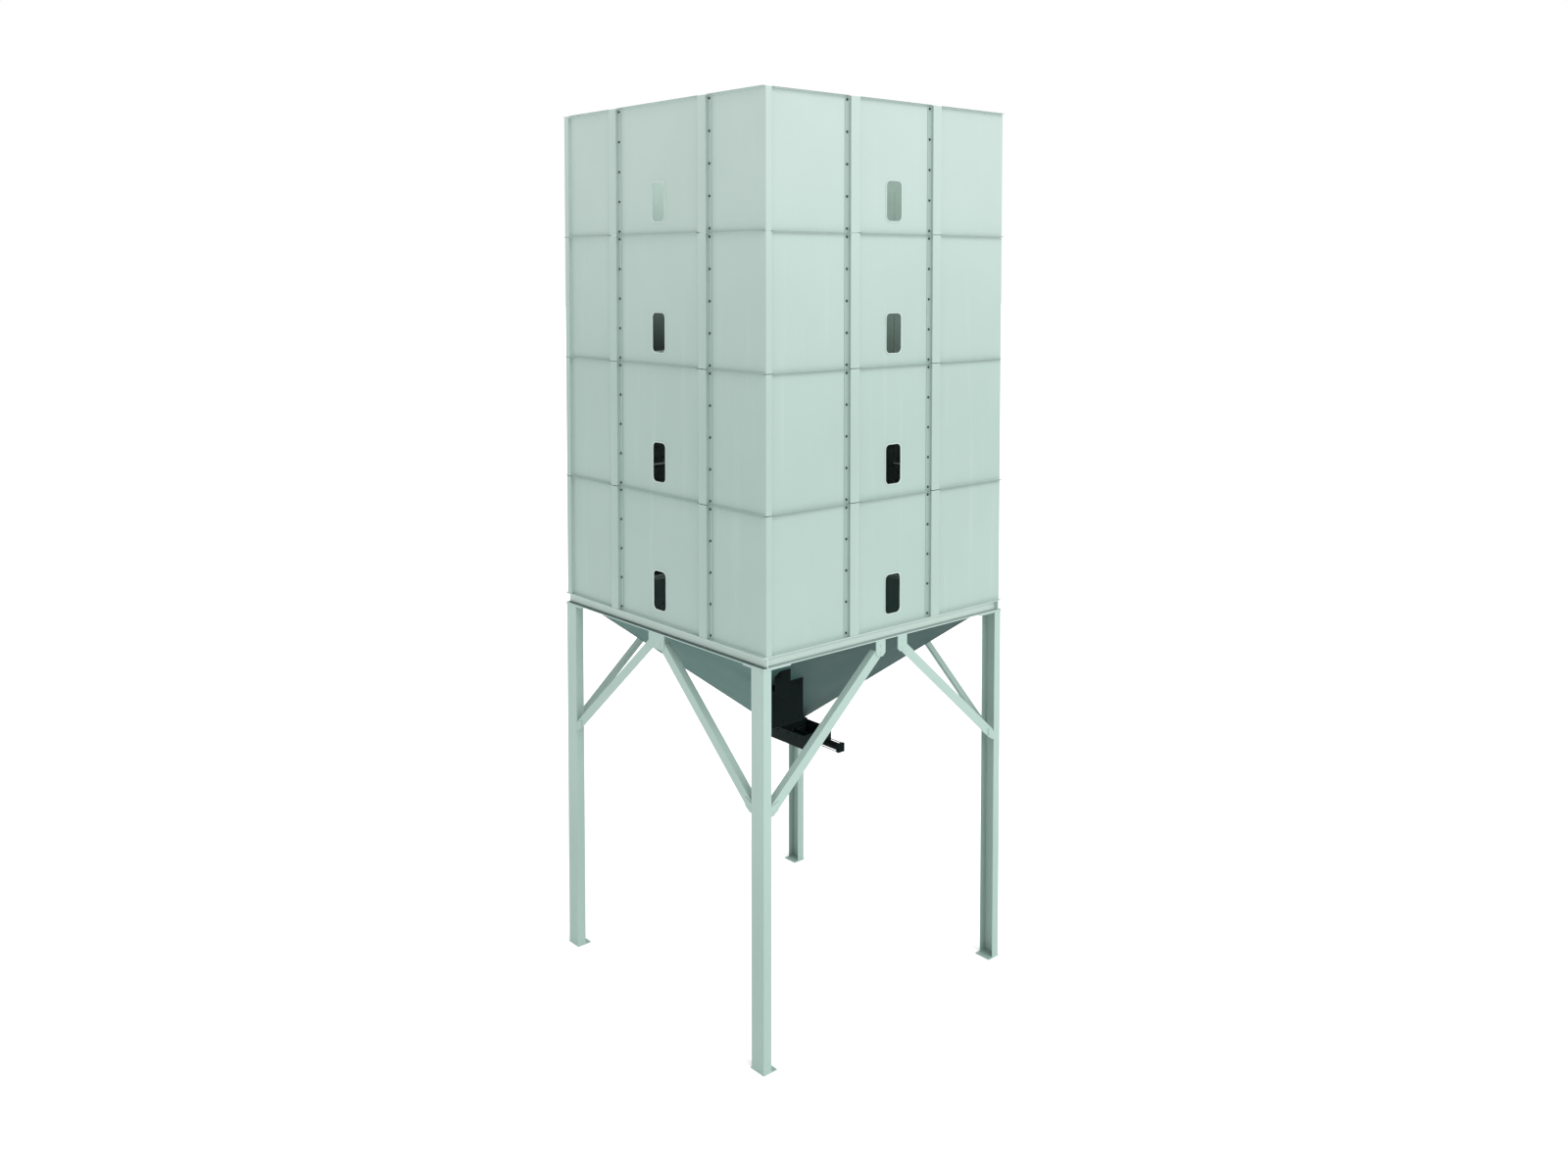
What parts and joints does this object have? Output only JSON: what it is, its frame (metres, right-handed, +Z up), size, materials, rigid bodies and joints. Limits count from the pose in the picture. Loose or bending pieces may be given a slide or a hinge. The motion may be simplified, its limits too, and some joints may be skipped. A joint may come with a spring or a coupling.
{
  "type": "square steel silo",
  "caption": "Square steel storage silo of bolted panels, with windows, a pyramid hopper and a slide gate, on four braced channel legs.",
  "frame": {"origin": "on the floor, under the middle of the square body", "axes": "+Z up, the front wall with its brace pair faces -Y, +X towards the gate's cylinder"},
  "size_m": [3, 3, 8.15],
  "materials": {
    "panel": "pale grey-green coat, satin",
    "frame": "pale grey-green coat, satin",
    "hopper": "dark grey-green coat, satin",
    "black": "black paint, satin",
    "steel": "plain steel",
    "glass": "clear"
  },
  "bodies": {
    "root": {"tier1_front_right_corner": "panel", "tier1_back_right_corner": "panel", "tier1_back_left_corner": "panel", "tier1_front_left_corner": "panel", "tier1_front_panel": "panel", "tier1_right_panel": "panel", "tier1_back_panel": "panel", "tier1_left_panel": "panel", "tier2_front_right_corner": "panel", "tier2_back_right_corner": "panel", "tier2_back_left_corner": "panel", "tier2_front_left_corner": "panel", "tier2_front_panel": "panel", "tier2_right_panel": "panel", "tier2_back_panel": "panel", "tier2_left_panel": "panel", "tier3_front_right_corner": "panel", "tier3_back_right_corner": "panel", "tier3_back_left_corner": "panel", "tier3_front_left_corner": "panel", "tier3_front_panel": "panel", "tier3_right_panel": "panel", "tier3_back_panel": "panel", "tier3_left_panel": "panel", "tier4_front_right_corner": "panel", "tier4_back_right_corner": "panel", "tier4_back_left_corner": "panel", "tier4_front_left_corner": "panel", "tier4_front_panel": "panel", "tier4_right_panel": "panel", "tier4_back_panel": "panel", "tier4_left_panel": "panel", "front_glass": "glass", "right_glass": "glass", "back_glass": "glass", "left_glass": "glass", "front_ring_beam": "frame", "right_ring_beam": "frame", "back_ring_beam": "frame", "left_ring_beam": "frame", "front_right_leg": "frame", "back_right_leg": "frame", "back_left_leg": "frame", "front_left_leg": "frame", "front_brace_pair": "frame", "back_brace_pair": "frame", "right_brace_left_end": "frame", "right_brace_right_end": "frame", "left_brace_left_end": "frame", "left_brace_right_end": "frame", "hopper_front_plate": "hopper", "hopper_right_plate": "hopper", "hopper_back_plate": "hopper", "hopper_left_plate": "hopper", "outlet_flange": "black", "gate_frame": "black", "gate_blade": "steel", "gate_cylinder": "black", "hopper_side_box": "black"}
  },
  "joints": []
}
